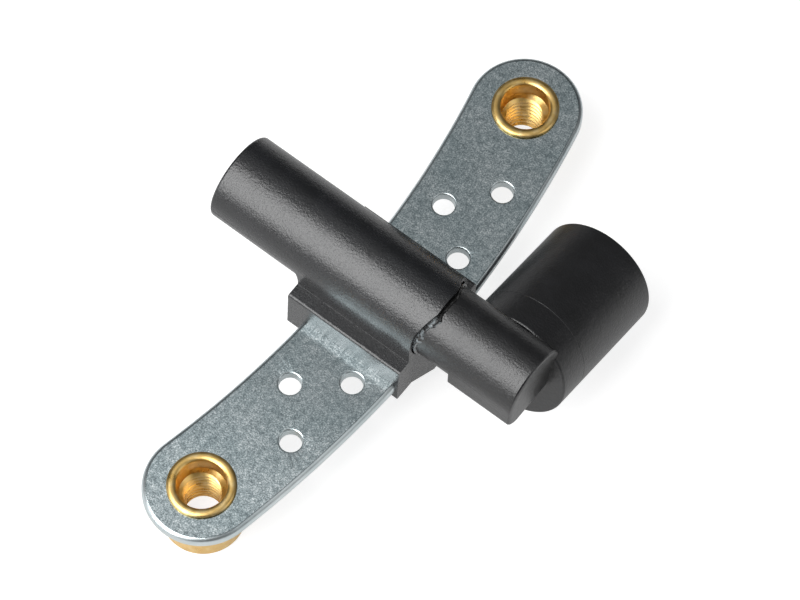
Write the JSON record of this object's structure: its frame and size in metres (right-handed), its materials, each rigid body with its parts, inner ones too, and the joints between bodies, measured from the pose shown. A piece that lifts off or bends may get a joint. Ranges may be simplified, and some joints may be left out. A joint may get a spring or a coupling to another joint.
{
  "type": "crankshaft position sensor",
  "caption": "Inductive crankshaft position sensor: round black nose and tilted round connector on a bowed steel plate with threaded brass bushes.",
  "frame": {"origin": "midway between the two bush axes, on the plane of the bush seats", "axes": "+X along the sensor axis from nose to connector end, +Y along the bush line towards the side the connector points to, +Z from the seats up through the plate"},
  "size_m": [0.0667, 0.1102, 0.0318],
  "materials": {
    "zinc_plated_steel": "bright zinc plate, finely mottled",
    "turned_brass": "turned, bright",
    "sleeve_plastic": "satin moulded",
    "connector_plastic": "matt moulded",
    "cured_resin": "glossy, slightly clear",
    "bobbin_plastic": "natural moulded",
    "enamelled_copper": "enamelled wire",
    "soft_iron": "turned",
    "magnet_alloy": "ground",
    "tinned_brass": "tin plated"
  },
  "bodies": {
    "root": {"mounting_plate": "zinc_plated_steel", "near_bush": "turned_brass", "far_bush": "turned_brass", "sleeve_housing": "sleeve_plastic", "rear_housing": "connector_plastic", "bonding_resin": "cured_resin", "coil_bobbin": "bobbin_plastic", "coil_winding": "enamelled_copper", "pole_pin": "soft_iron", "magnet": "magnet_alloy", "inner_terminal": "tinned_brass", "outer_terminal": "tinned_brass", "inner_lead": "enamelled_copper", "outer_lead": "enamelled_copper"}
  },
  "joints": []
}
